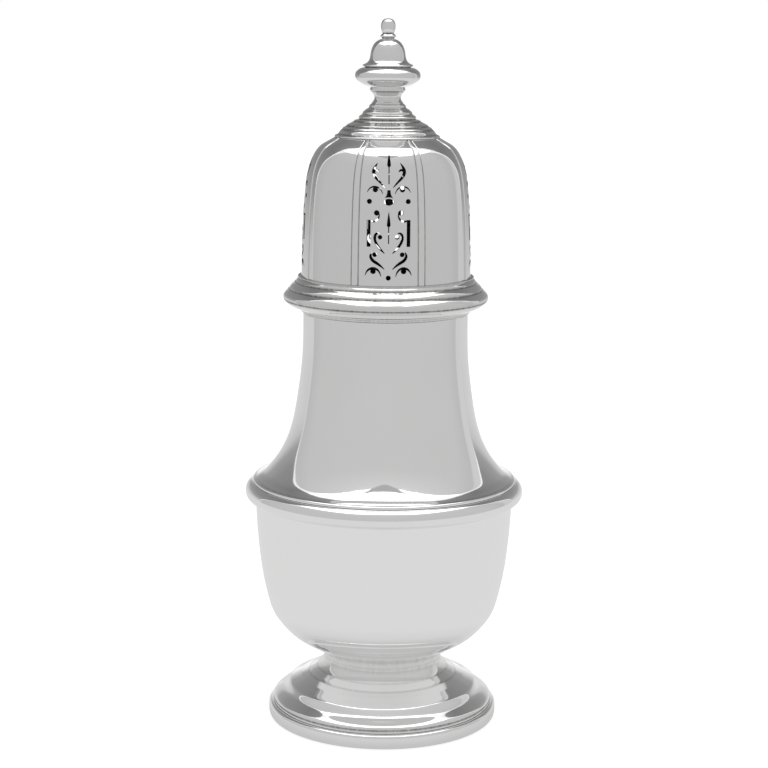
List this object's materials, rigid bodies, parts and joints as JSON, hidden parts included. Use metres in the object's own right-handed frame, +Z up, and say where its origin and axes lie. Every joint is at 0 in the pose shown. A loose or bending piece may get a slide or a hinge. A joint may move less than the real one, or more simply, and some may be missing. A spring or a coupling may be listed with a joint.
{
  "type": "silver sugar caster",
  "caption": "Baluster sugar caster on a spread foot, with a pull-off domed cover that has pierced scrollwork panels, raised straps and a turned finial.",
  "frame": {"origin": "centre of the foot's base, on the surface that the caster stands on", "axes": "+Z up along the caster's axis; a pierced panel of the cover faces -Y, and the other three face +X, +Y and -X"},
  "size_m": [0.0756, 0.0756, 0.1903],
  "materials": {
    "sheet_silver": "polished sterling silver, raised and spun sheet",
    "cast_silver": "polished sterling silver, cast and turned mouldings",
    "strap_silver": "polished sterling silver, drawn strap"
  },
  "bodies": {
    "body": {"foot_rim": "cast_silver", "foot_dome": "sheet_silver", "stem_collar": "sheet_silver", "bowl": "sheet_silver", "girdle": "cast_silver", "neck": "sheet_silver"},
    "cover": {"cover_bezel": "sheet_silver", "cover_flange": "cast_silver", "cover_dome": "sheet_silver", "cover_cap": "sheet_silver", "cover_strap_1": "strap_silver", "cover_strap_2": "strap_silver", "cover_strap_3": "strap_silver", "cover_strap_4": "strap_silver", "cover_strap_5": "strap_silver", "cover_strap_6": "strap_silver", "cover_strap_7": "strap_silver", "cover_strap_8": "strap_silver", "finial_stem": "cast_silver", "finial_bun": "cast_silver", "finial_bell": "cast_silver", "finial_button": "cast_silver"}
  },
  "joints": [
    {"name": "cover_lift", "type": "slide", "parent": "body", "child": "cover", "axis": [0, 0, 1], "range_m": [0, 0.03]}
  ]
}
